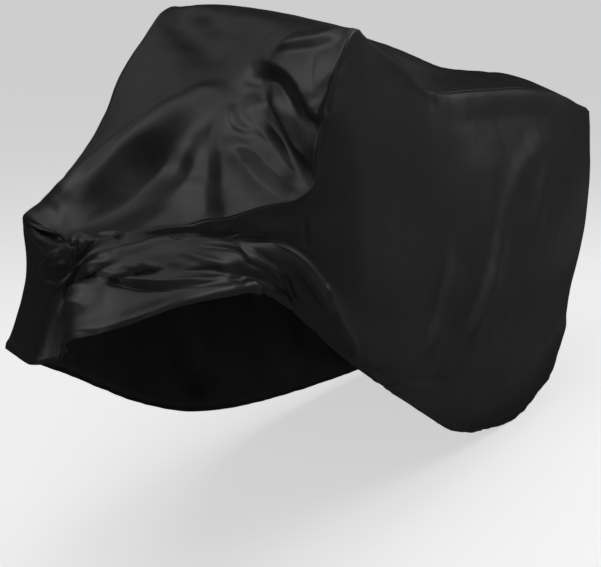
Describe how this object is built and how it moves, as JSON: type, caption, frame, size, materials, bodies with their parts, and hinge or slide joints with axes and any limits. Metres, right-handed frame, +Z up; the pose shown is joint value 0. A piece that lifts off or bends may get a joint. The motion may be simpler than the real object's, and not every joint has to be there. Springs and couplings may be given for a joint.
{
  "type": "fitted motorcycle cover",
  "caption": "Fitted black polyester motorcycle cover in its draped shape, tented over bar and seat, hitched up in a double swag over the front wheel.",
  "frame": {"origin": "middle of the cover's length and width, at the height of its lowest hem", "axes": "+X from the front wheel to the rear, +Y to the right side of the machine, +Z up"},
  "size_m": [2.4572, 0.8095, 1.2608],
  "materials": {
    "coated_cloth": "near-black coated polyester with a soft satin sheen"
  },
  "bodies": {
    "root": {"centre_panel": "coated_cloth", "left_side_panel": "coated_cloth", "right_side_panel": "coated_cloth"}
  },
  "joints": []
}
